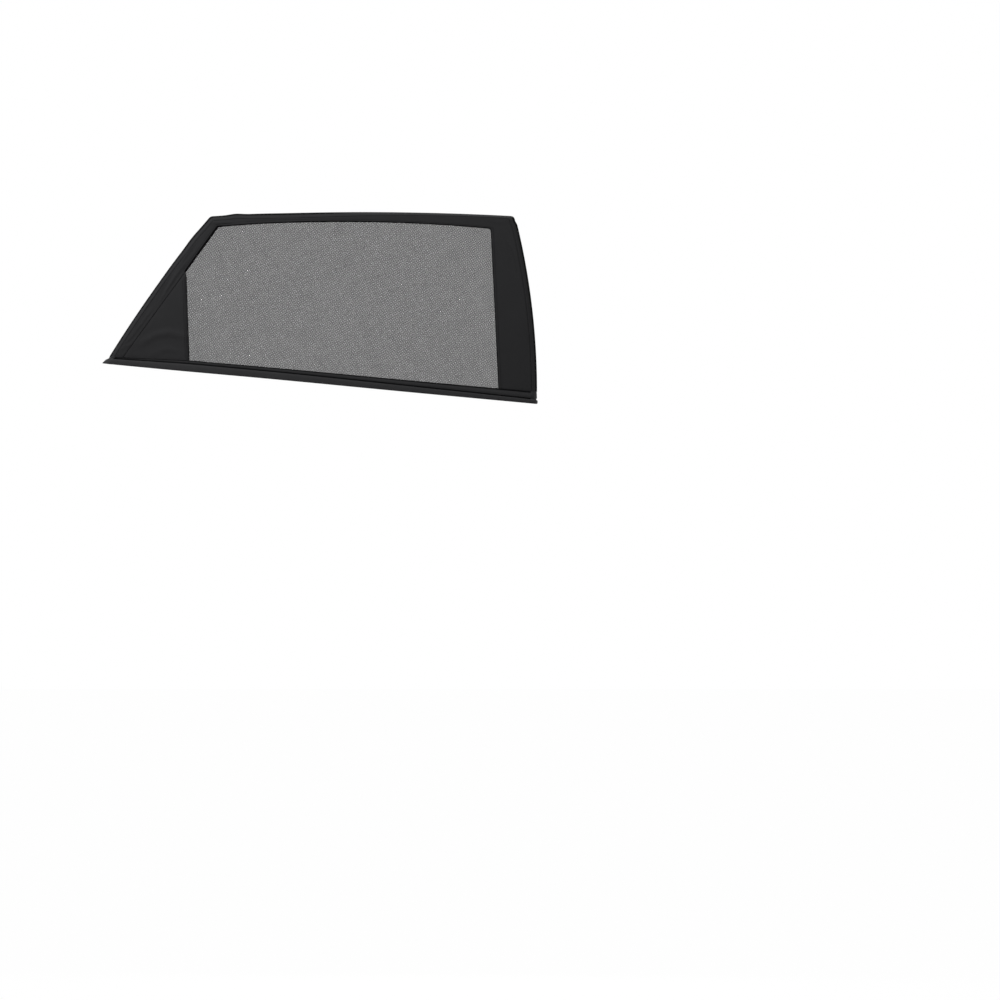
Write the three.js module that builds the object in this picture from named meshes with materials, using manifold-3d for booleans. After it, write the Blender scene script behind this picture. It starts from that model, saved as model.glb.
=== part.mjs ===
// Sock sunshade for a rear side window, in the shape it takes when pulled over the door's window frame.
// Two faces of black stretch cloth and see-through knitted mesh are sewn together round three edges.
// The fourth side, along the belt line, is the open mouth, with a hem and a loop of elastic.
// Millimetres. +X runs along the car to the front, -Y is the outside face, +Z is up.
// The origin is where the pocket hangs on the top of the window frame.

import * as THREE from "three";
import { mergeVertices } from "three/addons/utils/BufferGeometryUtils.js";
import Module from "manifold-3d";

const wasm = await Module();
wasm.setup();

// Outline of the worn shade, seen square on
const TOP_LENGTH = 624.4; // rear top corner to front top corner
const TOP_RISE = 0.3; // how much higher the front top corner is
const TOP_BOW = 8.6; // rise of the top edge over its chord
const REAR_LEAN = 206; // how far the rear foot lies behind its corner
const REAR_BOW = 5.8; // outward swell of the rear edge
const FRONT_LEAN = 44.6; // how far the front foot lies ahead of its corner
const FRONT_BOW = 11.3; // outward swell of the front edge
const SEAT_FROM_REAR_CORNER = 239; // origin, measured along the top edge
const REAR_CORNER_RADIUS = 4.5; // rounding where the top meets the rear edge
const FRONT_CORNER_RADIUS = 9; // rounding where the top meets the front edge

// Belt line, the lower edge of the hem
const BELT_DEPTH = 343.2; // below the rear top corner, at the origin
const BELT_SLOPE = 0.095; // fall per millimetre towards the front

// Depth of the pocket and the bow of a door glass
const POCKET_DEPTH = 40; // outside face to inside face
const EDGE_WRAP = 12; // width over which the cloth turns round the frame's edge
const GLASS_RADIUS = 1500; // barrel radius of both faces

// Window of see-through mesh
const TOP_BORDER_REAR = 21.4; // rear top corner down to the window's corner
const TOP_BORDER_FRONT = 25; // front top corner down to the window's corner
const WINDOW_TOP_BOW = 12.4; // rise of the window's top edge over its chord
const REAR_BORDER = 25.4; // rear edge's chord to the window's slanted edge
const REAR_ELBOW = 113; // corner down to the elbow of the window's rear edge
const REAR_EDGE_LEAN = 0.036; // slope of the window's upright rear edge
const REAR_BORDER_FOOT = 28; // width of the rear border at the hem
const FRONT_BORDER = 49.9; // width of the front border at its top
const FRONT_EDGE_LEAN = 0.048; // slope of the window's front edge
const WINDOW_CORNER_RADIUS = 5;
const GUSSET_TIP = 3; // cut off the thin upper corner of the rear triangle

// Materials as cut and sewn
const CLOTH = 1.2; // stretch cloth
const NET = 0.9; // knitted mesh
const SEAM_LAP = 6; // mesh tucked under the cloth
const SEAM = 0.3; // closed seam between two cut edges

// Openwork of the mesh: courses of cords with slits between them
const SLIT_PITCH = 5.7;
const SLIT_HEIGHT = 2.3;
const SLIT_COLUMNS = 2;
const SLIT_BRIDGE = 5; // cord between two slits of a course
const SLIT_MARGIN = 3; // whole mesh left along the window's edge
const SHORTEST_SLIT = 12;

// Hem and elastic
const HEM_END = 14; // whole height of the hem at the rear foot
const HEM_REAR = 20.3; // the same where its taper starts, carried back to the rear foot
const HEM_FRONT = 23.4; // the same at the front foot
const FLANGE_END = 3.4; // single cloth above the casing, at the rear foot
const FLANGE_REAR = 5.8; // the same where the taper starts, carried back to the rear foot
const FLANGE_FRONT = 14; // the same at the front foot
const CASING_PROUD = 0.6; // how far the casing stands out from the face
const FOLD_CHAMFER = 0.9; // rounding of the folded cloth
const HEM_REAR_SLANT = 1.15; // slope of the hem's rear end
const HEM_FRONT_SLANT = -0.05; // slope of the hem's front end
const ELASTIC_WIDTH = 6;
const ELASTIC_THICKNESS = 1.2;
const ELASTIC_ROOM = 0.4; // clearance of the elastic in its casing

// Tape over the seam between the two faces
const TAPE_WIDTH = 8;
const TAPE_THICKNESS = 0.8;

// Fineness of the curved faces
const EDGE_STEPS = 5; // steps round the wrapped edge
const CORNER_STEPS = 4; // steps in half a rounded corner
const STATION = 30; // greatest step along an edge

const HALF_DEPTH = POCKET_DEPTH / 2;
const OUTSIDE = -1;
const INSIDE = 1;

const flat = (x, y) => new THREE.Vector2(x, y);

// The outline's corners, with the top corners on the level z = 0 until the whole is hung at its seat
const rearTop = flat(-SEAT_FROM_REAR_CORNER, 0);
const frontTop = flat(TOP_LENGTH - SEAT_FROM_REAR_CORNER, TOP_RISE);

const beltBottom = (x) => -BELT_DEPTH - BELT_SLOPE * x;
const rearFoot = flat(rearTop.x - REAR_LEAN, beltBottom(rearTop.x - REAR_LEAN) + HEM_END);

// The window's slanted rear edge runs beside the rear edge's chord
const rearWay = rearTop.clone().sub(rearFoot).normalize();
const rearInward = flat(rearWay.y, -rearWay.x);

function onRearBorder(height) {
  const start = rearTop.clone().addScaledVector(rearInward, REAR_BORDER);
  return start.addScaledVector(rearWay, (height - start.y) / rearWay.y);
}

const windowRearTop = onRearBorder(rearTop.y - TOP_BORDER_REAR);
const windowElbow = onRearBorder(rearTop.y - REAR_ELBOW);

// The hem tapers under the rear triangle, from the window's foot back to the rear foot
const taperStart = windowElbow.x + REAR_EDGE_LEAN * (windowElbow.y - rearFoot.y);
const alongMouth = (x) => THREE.MathUtils.clamp((x - rearFoot.x) / (TOP_LENGTH + REAR_LEAN + FRONT_LEAN), 0, 1);
const alongTaper = (x) => THREE.MathUtils.clamp((x - rearFoot.x) / (taperStart - rearFoot.x), 0, 1);
const tapered = (end, full, x) => THREE.MathUtils.lerp(end, full(Math.max(x, taperStart)), alongTaper(x));

const fullHem = (x) => THREE.MathUtils.lerp(HEM_REAR, HEM_FRONT, alongMouth(x));
const fullFlange = (x) => THREE.MathUtils.lerp(FLANGE_REAR, FLANGE_FRONT, alongMouth(x) ** 2);
const hemHeight = (x) => tapered(HEM_END, fullHem, x);
const casingHeight = (x) => hemHeight(x) - tapered(FLANGE_END, fullFlange, x);
const hemTop = (x) => beltBottom(x) + hemHeight(x);

const frontFoot = flat(frontTop.x + FRONT_LEAN, hemTop(frontTop.x + FRONT_LEAN));

// A gentle arc from one point to another; the bow is its height over the chord, to the left of the way
function bowed(from, to, bow) {
  const way = to.clone().sub(from).normalize();
  const control = from.clone().add(to).multiplyScalar(0.5).add(flat(-way.y, way.x).multiplyScalar(2 * bow));
  return new THREE.QuadraticBezierCurve(from, control, to);
}

const rearEdge = bowed(rearFoot, rearTop, REAR_BOW);
const topEdge = bowed(rearTop, frontTop, TOP_BOW);
const frontEdge = bowed(frontTop, frontFoot, FRONT_BOW);

const windowFrontTop = flat(frontTop.x - FRONT_BORDER, frontTop.y - TOP_BORDER_FRONT);

// Where a line that leans from an upper point comes down on the hem
function downToHem(from, lean) {
  let foot = from.clone();
  for (let i = 0; i < 8; i += 1) {
    const z = hemTop(foot.x);
    foot = flat(from.x + lean * (from.y - z), z);
  }
  return foot;
}

const windowRearFoot = downToHem(windowElbow, REAR_EDGE_LEAN);
const windowFrontFoot = downToHem(windowFrontTop, FRONT_EDGE_LEAN);
const borderRearFoot = flat(rearFoot.x + REAR_BORDER_FOOT, hemTop(rearFoot.x + REAR_BORDER_FOOT));

const windowTopEdge = bowed(windowRearTop, windowFrontTop, WINDOW_TOP_BOW);
const windowFrontEdge = new THREE.LineCurve(windowFrontTop, windowFrontFoot);

// Points along a curve between two of its parameters, no further apart than one station
function along(curve, from, to, least = 1) {
  const length = curve.getLength() * Math.abs(to - from);
  const count = Math.max(least, Math.ceil(length / STATION));
  return Array.from({ length: count + 1 }, (_, i) => curve.getPointAt(from + ((to - from) * i) / count));
}

// Two edges with their shared corner rounded: each edge is returned up to the middle of the rounding
function roundedCorner(before, after, radius) {
  const cutBefore = 1 - radius / before.getLength();
  const cutAfter = radius / after.getLength();
  const arc = new THREE.QuadraticBezierCurve(before.getPointAt(cutBefore), after.getPointAt(0), after.getPointAt(cutAfter));
  const points = arc.getPoints(2 * CORNER_STEPS);
  return {
    cutBefore,
    cutAfter,
    ending: points.slice(1, CORNER_STEPS + 1),
    starting: points.slice(CORNER_STEPS, 2 * CORNER_STEPS),
  };
}

const outerRearCorner = roundedCorner(rearEdge, topEdge, REAR_CORNER_RADIUS);
const outerFrontCorner = roundedCorner(topEdge, frontEdge, FRONT_CORNER_RADIUS);
const windowCorner = roundedCorner(windowTopEdge, windowFrontEdge, WINDOW_CORNER_RADIUS);

// How far along a broken line each of its points lies, from 0 to 1
function shares(points) {
  const reach = [0];
  points.slice(1).forEach((p, i) => reach.push(reach[i] + p.distanceTo(points[i])));
  return reach.map((r) => r / reach[reach.length - 1]);
}

// Points on a broken line at the shares asked for
function spread(points, wanted) {
  const reach = shares(points);
  return wanted.map((share) => {
    const after = Math.max(1, reach.findIndex((r) => r >= share - 1e-9));
    const t = (share - reach[after - 1]) / (reach[after] - reach[after - 1]);
    return points[after - 1].clone().lerp(points[after], THREE.MathUtils.clamp(t, 0, 1));
  });
}

const evenShares = (count) => Array.from({ length: count }, (_, i) => i / (count - 1));

// Each border is a run of stations, from a point on the outline to the facing point on its inner edge
const elbowShare = 1 - REAR_ELBOW / (rearTop.y - rearFoot.y);
const rearLow = along(rearEdge, 0, elbowShare);
const rearHigh = [...along(rearEdge, elbowShare, outerRearCorner.cutBefore), ...outerRearCorner.ending];
const rearBorderStations = {
  outline: [...rearLow, ...rearHigh.slice(1)],
  inner: [
    ...spread([borderRearFoot, windowElbow], shares(rearLow)),
    ...spread([windowElbow, windowRearTop], shares(rearHigh)).slice(1),
  ],
};

const topOutline = [
  ...outerRearCorner.starting,
  ...along(topEdge, outerRearCorner.cutAfter, outerFrontCorner.cutBefore, 16),
  ...outerFrontCorner.ending,
];
const topInner = [...along(windowTopEdge, 0, windowCorner.cutBefore, 16), ...windowCorner.ending];
const topBorderStations = { outline: topOutline, inner: spread(topInner, shares(topOutline)) };

const frontOutline = [...outerFrontCorner.starting, ...along(frontEdge, outerFrontCorner.cutAfter, 1)];
const frontInner = [...windowCorner.starting, ...along(windowFrontEdge, windowCorner.cutAfter, 1)];
const frontBorderStations = { outline: frontOutline, inner: spread(frontInner, shares(frontOutline)) };

// The barrel bow of the door glass: every point moves in y by its height alone
const lowest = beltBottom(frontFoot.x);
const bowCentre = (rearTop.y + TOP_BOW + lowest) / 2;
const bowDepth = (z) => GLASS_RADIUS - Math.sqrt(GLASS_RADIUS ** 2 - (z - bowCentre) ** 2);
const seatHeight = topEdge.getPointAt(SEAT_FROM_REAR_CORNER / TOP_LENGTH).y - CLOTH;
const bow = (x, y, z) => new THREE.Vector3(x, y + bowDepth(z) - bowDepth(seatHeight), z);

// The contour runs anticlockwise and the holes clockwise
function wound(section) {
  const { isClockWise } = THREE.ShapeUtils;
  return {
    contour: isClockWise(section.contour) ? [...section.contour].reverse() : section.contour,
    holes: section.holes.map((hole) => (isClockWise(hole) ? hole : [...hole].reverse())),
    place: section.place,
  };
}

// A closed solid lofted through sections that all have the same contour and holes, point for point.
// A section holds its contour and holes flat, and the way to place a flat point in space.
function loft(drawn, closed = false) {
  const sections = drawn.map(wound);
  const rings = [sections[0].contour.length, ...sections[0].holes.map((hole) => hole.length)];
  const perSection = rings.reduce((sum, n) => sum + n, 0);
  const positions = [];
  sections.forEach((section) => {
    [...section.contour, ...section.holes.flat()].forEach((p) => positions.push(...section.place(p).toArray()));
  });
  const index = [];
  const spans = closed ? sections.length : sections.length - 1;
  for (let s = 0; s < spans; s += 1) {
    const here = s * perSection;
    const next = ((s + 1) % sections.length) * perSection;
    let first = 0;
    rings.forEach((count) => {
      for (let i = 0; i < count; i += 1) {
        const a = first + i;
        const b = first + ((i + 1) % count);
        index.push(here + a, here + b, next + b, here + a, next + b, next + a);
      }
      first += count;
    });
  }
  if (!closed) {
    const last = (sections.length - 1) * perSection;
    const start = sections[0];
    const end = sections[sections.length - 1];
    THREE.ShapeUtils.triangulateShape(start.contour, start.holes).forEach(([a, b, c]) => index.push(a, c, b));
    THREE.ShapeUtils.triangulateShape(end.contour, end.holes).forEach(([a, b, c]) => {
      index.push(last + a, last + b, last + c);
    });
  }
  const geometry = new THREE.BufferGeometry();
  geometry.setAttribute("position", new THREE.Float32BufferAttribute(positions, 3));
  geometry.setIndex(index);
  return facingOut(geometry);
}

// Turns the triangles round if the solid came out inside out
function facingOut(geometry) {
  const position = geometry.getAttribute("position");
  const index = geometry.getIndex();
  const [a, b, c] = [new THREE.Vector3(), new THREE.Vector3(), new THREE.Vector3()];
  let volume = 0;
  for (let i = 0; i < index.count; i += 3) {
    a.fromBufferAttribute(position, index.getX(i));
    b.fromBufferAttribute(position, index.getX(i + 1));
    c.fromBufferAttribute(position, index.getX(i + 2));
    volume += a.dot(b.cross(c));
  }
  if (volume < 0) {
    for (let i = 0; i < index.count; i += 3) {
      const second = index.getX(i + 1);
      index.setX(i + 1, index.getX(i + 2));
      index.setX(i + 2, second);
    }
  }
  geometry.computeVertexNormals();
  return geometry;
}

// Half of the wrapped edge, from the seam on the outline round to the face and in to the border's inner edge
function borderContour(width) {
  const half = SEAM / 2;
  const outside = [];
  const inside = [];
  for (let i = 0; i <= EDGE_STEPS; i += 1) {
    const turn = (Math.PI / 2) * (i / EDGE_STEPS);
    const round = 1 - Math.cos(turn);
    outside.push(flat(EDGE_WRAP * round, half + (HALF_DEPTH - half) * Math.sin(turn)));
    inside.push(flat(CLOTH + (EDGE_WRAP - CLOTH) * round, half + (HALF_DEPTH - CLOTH - half) * Math.sin(turn)));
  }
  outside.push(flat(width, HALF_DEPTH));
  inside.push(flat(width, HALF_DEPTH - CLOTH));
  return [...outside, ...inside.reverse()];
}

// A border of stretch cloth on one face; each free end is pulled back by half a seam
function border(stations, side, seamAtStart, seamAtEnd) {
  const last = stations.outline.length - 1;
  const sections = stations.outline.map((outlinePoint, i) => {
    const across = stations.inner[i].clone().sub(outlinePoint);
    const width = across.length() - SEAM / 2;
    const inward = across.normalize();
    const onward = flat(-inward.y, inward.x);
    const next = stations.outline[Math.min(i + 1, last)].clone().sub(stations.outline[Math.max(i - 1, 0)]);
    onward.multiplyScalar(Math.sign(onward.dot(next)));
    const back = (i === 0 ? seamAtStart : 0) - (i === last ? seamAtEnd : 0);
    const start = outlinePoint.clone().addScaledVector(onward, back);
    const place = (p) => {
      const at = start.clone().addScaledVector(inward, p.x);
      return bow(at.x, side * p.y, at.y);
    };
    return { contour: borderContour(width), holes: [], place };
  });
  return loft(sections);
}

// The triangle of cloth between the rear border, the window's upright edge and the hem
function rearGusset(side) {
  const sections = [];
  const top = windowElbow.y - GUSSET_TIP;
  const steps = Math.ceil((top - borderRearFoot.y) / STATION) + 1;
  for (let i = 0; i <= steps; i += 1) {
    const t = i / steps;
    const foot = [borderRearFoot.x, windowRearFoot.x];
    const low = foot.map((x) => flat(x, hemTop(x) + SEAM));
    const left = low[0].clone().lerp(windowElbow, (t * (top - low[0].y)) / (windowElbow.y - low[0].y));
    const right = low[1].clone().lerp(windowElbow, (t * (top - low[1].y)) / (windowElbow.y - low[1].y));
    const clear = SEAM * 1.6;
    const contour = [flat(clear, 0), flat(right.x - left.x, 0), flat(right.x - left.x, CLOTH), flat(clear, CLOTH)];
    const place = (p) => {
      const share = p.x / (right.x - left.x);
      return bow(left.x + p.x, side * (HALF_DEPTH - p.y), THREE.MathUtils.lerp(left.y, right.y, share));
    };
    sections.push({ contour, holes: [], place });
  }
  return loft(sections);
}

// The window as the borders frame it, going round from its rear foot
const windowOutline = [
  windowRearFoot,
  windowElbow,
  ...along(windowTopEdge, 0, windowCorner.cutBefore, 16),
  ...windowCorner.ending,
  ...windowCorner.starting.slice(1),
  windowFrontEdge.getPointAt(windowCorner.cutAfter),
  windowFrontFoot,
  ...spread([windowFrontFoot, windowRearFoot], evenShares(12)).slice(1, -1).map((p) => flat(p.x, hemTop(p.x))),
];

// The same outline moved outward all round
function grown(points, distance) {
  const n = points.length;
  const middle = points.reduce((sum, p) => sum.add(p), flat(0, 0)).divideScalar(n);
  return points.map((p, i) => {
    const before = p.clone().sub(points[(i + n - 1) % n]).normalize();
    const after = points[(i + 1) % n].clone().sub(p).normalize();
    const sides = [before, after].map((way) => {
      const normal = flat(-way.y, way.x);
      return normal.multiplyScalar(Math.sign(normal.dot(p.clone().sub(middle))));
    });
    const out = sides[0].clone().add(sides[1]).normalize();
    return p.clone().addScaledVector(out, distance / out.dot(sides[0]));
  });
}

// Left and right ends of the window at one height
function windowSpan(z) {
  const crossings = [];
  windowOutline.forEach((p, i) => {
    const q = windowOutline[(i + 1) % windowOutline.length];
    if ((p.y - z) * (q.y - z) < 0) {
      crossings.push(p.x + ((q.x - p.x) * (z - p.y)) / (q.y - p.y));
    }
  });
  return crossings.length < 2 ? null : [Math.min(...crossings), Math.max(...crossings)];
}

// Slits between the cords, course by course, kept clear of the window's edge
function slits() {
  const heights = windowOutline.map((p) => p.y);
  const top = Math.max(...heights) - SLIT_MARGIN;
  const bottom = Math.min(...heights) + SLIT_MARGIN;
  const bridgeAt = (column) => THREE.MathUtils.lerp(windowElbow.x, windowFrontFoot.x, column / SLIT_COLUMNS);
  const found = [];
  for (let z = top - SLIT_PITCH; z > bottom; z -= SLIT_PITCH) {
    const levels = [z - SLIT_MARGIN, z, z + SLIT_HEIGHT, z + SLIT_HEIGHT + SLIT_MARGIN].map(windowSpan);
    if (levels.some((level) => level === null)) {
      continue;
    }
    const left = Math.max(...levels.map((level) => level[0])) + SLIT_MARGIN;
    const right = Math.min(...levels.map((level) => level[1])) - SLIT_MARGIN;
    for (let column = 0; column < SLIT_COLUMNS; column += 1) {
      const from = Math.max(left, bridgeAt(column) + SLIT_BRIDGE / 2);
      const to = Math.min(right, bridgeAt(column + 1) - SLIT_BRIDGE / 2);
      if (to - from > SHORTEST_SLIT) {
        found.push([flat(from, z), flat(from, z + SLIT_HEIGHT), flat(to, z + SLIT_HEIGHT), flat(to, z)]);
      }
    }
  }
  return found;
}

// A three.js geometry as a solid that can be cut, and back
function toSolid(geometry) {
  const bare = geometry.clone();
  bare.deleteAttribute("normal");
  bare.deleteAttribute("uv");
  const merged = mergeVertices(bare, 1e-5);
  const vertProperties = new Float32Array(merged.getAttribute("position").array);
  const triVerts = new Uint32Array(merged.getIndex().array);
  return new wasm.Manifold(new wasm.Mesh({ numProp: 3, vertProperties, triVerts }));
}

function toGeometry(solid) {
  const mesh = solid.getMesh();
  const geometry = new THREE.BufferGeometry();
  geometry.setAttribute("position", new THREE.BufferAttribute(new Float32Array(mesh.vertProperties), 3));
  geometry.setIndex(new THREE.BufferAttribute(new Uint32Array(mesh.triVerts), 1));
  geometry.computeVertexNormals();
  return geometry;
}

// Flat shapes pushed straight through both faces of the pocket, to cut with
function punch(shapes) {
  const geometry = new THREE.ExtrudeGeometry(shapes, { depth: 4 * POCKET_DEPTH, bevelEnabled: false });
  return toSolid(geometry.rotateX(Math.PI / 2).translate(0, 2 * POCKET_DEPTH, 0));
}

// The mesh, tucked under the cloth all round: a sheet bowed like the glass, trimmed to the window and slit
function meshWindow(side) {
  const edge = grown(windowOutline, SEAM_LAP);
  const heights = edge.map((p) => p.y);
  const low = Math.min(...heights) - SEAM_LAP;
  const high = Math.max(...heights) + SEAM_LAP;
  const bands = Math.ceil((high - low) / STATION);
  const near = HALF_DEPTH - CLOTH - SEAM;
  const rise = Array.from({ length: bands + 1 }, (_, i) => low + ((high - low) * i) / bands);
  const contour = [...rise.map((z) => flat(near, z)), ...rise.reverse().map((z) => flat(near - NET, z))];
  const sheet = loft(
    [rearFoot.x, frontFoot.x].map((x) => ({ contour, holes: [], place: (p) => bow(x, side * p.x, p.y) })),
  );
  return toGeometry(
    toSolid(sheet)
      .intersect(punch(new THREE.Shape(edge)))
      .subtract(punch(slits().map((slit) => new THREE.Shape(slit)))),
  );
}

// The way round the mouth on one face, in plan: x, distance from the middle plane and the way out
function mouthStations(side) {
  const from = rearFoot.x;
  const to = frontFoot.x;
  const stations = [];
  for (let i = 0; i <= EDGE_STEPS; i += 1) {
    const turn = (Math.PI / 2) * (i / EDGE_STEPS);
    stations.push({ x: from + EDGE_WRAP * (1 - Math.cos(turn)), turn });
  }
  [[from + EDGE_WRAP, taperStart], [taperStart, to - EDGE_WRAP]].forEach(([start, end]) => {
    const count = Math.ceil((end - start) / (3 * STATION));
    for (let i = 1; i <= count; i += 1) {
      stations.push({ x: THREE.MathUtils.lerp(start, end, i / count), turn: Math.PI / 2 });
    }
  });
  stations.pop();
  for (let i = EDGE_STEPS; i >= 0; i -= 1) {
    const turn = Math.PI - (Math.PI / 2) * (i / EDGE_STEPS);
    stations.push({ x: to - EDGE_WRAP * (1 + Math.cos(turn)), turn });
  }
  return stations.map(({ x, turn }) => ({ x, turn, side }));
}

// One point of the hem or its elastic: outward from the face, and up from the lower edge
function placeOnMouth({ x, turn, side }, outward, up, halfSeam) {
  const share = THREE.MathUtils.clamp((x - rearFoot.x) / (frontFoot.x - rearFoot.x), 0, 1);
  const slant = THREE.MathUtils.lerp(HEM_REAR_SLANT, HEM_FRONT_SLANT, share);
  const out = flat(-HALF_DEPTH * Math.cos(turn), EDGE_WRAP * Math.sin(turn)).normalize();
  const y = halfSeam + (HALF_DEPTH - halfSeam) * Math.sin(turn) + outward * out.y;
  const z = beltBottom(x) + up;
  return bow(x + outward * out.x + slant * (z - hemTop(x)), side * y, z);
}

// Hem on one face: a single flange of cloth, with a casing below it that the elastic runs through
function hem(side) {
  const room = ELASTIC_THICKNESS + 2 * ELASTIC_ROOM;
  const front = CASING_PROUD;
  const back = front - 2 * CLOTH - room;
  const sections = mouthStations(side).map((station) => {
    const top = casingHeight(station.x);
    const upper = hemHeight(station.x);
    const fold = FOLD_CHAMFER;
    const contour = [
      flat(back + fold, 0),
      flat(front - fold, 0),
      flat(front, fold),
      flat(front, top - fold),
      flat(0, top),
      flat(0, upper),
      flat(-CLOTH, upper),
      flat(-CLOTH, top),
      flat(back, top - fold),
      flat(back, fold),
    ];
    const hole = [
      flat(back + CLOTH, CLOTH),
      flat(back + CLOTH, top - CLOTH),
      flat(front - CLOTH, top - CLOTH),
      flat(front - CLOTH, CLOTH),
    ];
    return { contour, holes: [hole], place: (p) => placeOnMouth(station, p.x, p.y, SEAM / 2) };
  });
  return loft(sections);
}

// The elastic is one loop through both casings
function hemElastic() {
  const outer = mouthStations(OUTSIDE);
  const inner = mouthStations(INSIDE).slice(1, -1).reverse();
  const front = CASING_PROUD - CLOTH - ELASTIC_ROOM;
  const low = CLOTH + ELASTIC_ROOM;
  const contour = [
    flat(front - ELASTIC_THICKNESS, low),
    flat(front, low),
    flat(front, low + ELASTIC_WIDTH),
    flat(front - ELASTIC_THICKNESS, low + ELASTIC_WIDTH),
  ];
  const sections = [...outer, ...inner].map((station) => ({
    contour,
    holes: [],
    place: (p) => placeOnMouth(station, p.x, p.y, 0),
  }));
  return loft(sections, true);
}

// Flat tape over the seam, all along the outline from foot to foot
function edgeTape() {
  const outline = [
    ...rearBorderStations.outline,
    ...topBorderStations.outline.slice(1),
    ...frontBorderStations.outline.slice(1),
  ];
  const last = outline.length - 1;
  const contour = [
    flat(SEAM, -TAPE_WIDTH / 2),
    flat(SEAM + TAPE_THICKNESS, -TAPE_WIDTH / 2),
    flat(SEAM + TAPE_THICKNESS, TAPE_WIDTH / 2),
    flat(SEAM, TAPE_WIDTH / 2),
  ];
  const sections = outline.map((point, i) => {
    const way = outline[Math.min(i + 1, last)].clone().sub(outline[Math.max(i - 1, 0)]).normalize();
    const out = flat(-way.y, way.x);
    const back = i === 0 ? 2 * SEAM : 0;
    const place = (p) => {
      const at = point.clone().addScaledVector(out, p.x).addScaledVector(way, back);
      return bow(at.x, p.y, at.y);
    };
    return { contour, holes: [], place };
  });
  return loft(sections);
}

const cloth = () => new THREE.MeshStandardMaterial({ color: 0x1b1b1c, roughness: 0.92, metalness: 0 });
const net = () => new THREE.MeshStandardMaterial({ color: 0x2c2c2d, roughness: 0.85, metalness: 0 });
const tape = () => new THREE.MeshStandardMaterial({ color: 0x121213, roughness: 0.8, metalness: 0 });
const elastic = () => new THREE.MeshStandardMaterial({ color: 0x0f0f10, roughness: 0.7, metalness: 0 });

function piece(name, geometry, material) {
  const mesh = new THREE.Mesh(geometry, material);
  mesh.name = name;
  return mesh;
}

function face(word, side) {
  const group = new THREE.Group();
  const half = SEAM / 2;
  group.add(
    piece(`${word}_mesh_window`, meshWindow(side), net()),
    piece(`${word}_top_border`, border(topBorderStations, side, half, half), cloth()),
    piece(`${word}_front_border`, border(frontBorderStations, side, half, SEAM), cloth()),
    piece(`${word}_rear_border`, border(rearBorderStations, side, SEAM, half), cloth()),
    piece(`${word}_rear_gusset`, rearGusset(side), cloth()),
    piece(`${word}_hem`, hem(side), cloth()),
  );
  return group;
}

const sunshade = new THREE.Group();
sunshade.add(face("outer", OUTSIDE), face("inner", INSIDE));
sunshade.add(piece("edge_seam_tape", edgeTape(), tape()));
sunshade.add(piece("hem_elastic", hemElastic(), elastic()));
sunshade.position.z = -seatHeight;

export default sunshade;
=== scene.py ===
import math

import bmesh
import bpy
import numpy as np
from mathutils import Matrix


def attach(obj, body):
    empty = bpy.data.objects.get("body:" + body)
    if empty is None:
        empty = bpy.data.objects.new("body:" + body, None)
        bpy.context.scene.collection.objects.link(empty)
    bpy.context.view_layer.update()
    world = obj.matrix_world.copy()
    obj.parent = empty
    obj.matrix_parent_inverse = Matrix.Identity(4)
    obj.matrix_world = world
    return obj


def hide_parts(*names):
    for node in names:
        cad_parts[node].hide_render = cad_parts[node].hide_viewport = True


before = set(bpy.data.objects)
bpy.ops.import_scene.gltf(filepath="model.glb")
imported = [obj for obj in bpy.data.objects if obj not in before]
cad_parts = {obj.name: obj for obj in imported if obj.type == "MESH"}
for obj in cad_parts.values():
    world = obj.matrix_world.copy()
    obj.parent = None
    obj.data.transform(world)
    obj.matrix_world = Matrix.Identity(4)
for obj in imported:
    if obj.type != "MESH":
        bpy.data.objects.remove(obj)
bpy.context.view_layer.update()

# Sock sunshade for a rear side window, in the shape it takes when pulled over the door's window frame.
# Two faces of black stretch cloth and knitted mesh are sewn round three edges; the mouth is below.
# Drawn in millimetres, flat, as (x, z); in_place() bows it like the glass, hangs it and turns it to metres.


# Mesh windows
# Each face has a see-through window of black polyester net, warp-knitted in fine diamonds.
# The door's frame stretches it, so it is bowed like the glass; its edge is tucked under the cloth.
OUTSIDE = -1
INSIDE = 1
HALF_DEPTH = 20.0  # from the middle of the pocket to either face
GLASS_RADIUS = 1500.0
BOW_MIDDLE = -187.725  # height at which the faces stand out most
SEAT = 7.042  # height of the seat over the rear top corner

REAR_TOP = np.array([-239.0, 0.0])
FRONT_TOP = np.array([385.4, 0.3])
REAR_LEAN = 206.0  # how far the rear foot lies behind its corner
FRONT_LEAN = 44.6  # how far the front foot lies ahead of its corner
BELT_DEPTH = 343.2  # from the rear top corner down to the lower edge, at x = 0
BELT_SLOPE = 0.095  # fall per millimetre towards the front
HEM_END = 14.0  # height of the hem at the rear foot


def belt_bottom(x):
    """The lower edge; the elastic draws it up a little, most of all behind its middle."""
    drawn_up = 0.9 * np.exp(-(((x + 90.0) / 190.0) ** 2))
    return -BELT_DEPTH - BELT_SLOPE * x + drawn_up


REAR_FOOT = np.array([REAR_TOP[0] - REAR_LEAN, belt_bottom(REAR_TOP[0] - REAR_LEAN) + HEM_END])


def in_place(x, y, z):
    """Bows, hangs and scales points of the flat drawing; y is their depth, less than nothing outside."""

    def bow(height):
        return GLASS_RADIUS - np.sqrt(GLASS_RADIUS**2 - (height - BOW_MIDDLE) ** 2)

    return np.stack([x, y + bow(z) - bow(SEAT), z - SEAT], axis=-1) / 1000.0


def arc(start, end, rise, count=300):
    """A gentle curve between two points; rise is its height over the chord, to the left of the way."""
    way = (end - start) / np.linalg.norm(end - start)
    control = (start + end) / 2 + 2 * rise * np.array([-way[1], way[0]])
    t = np.linspace(0, 1, count)[:, None]
    return (1 - t) ** 2 * start + 2 * t * (1 - t) * control + t * t * end


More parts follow.
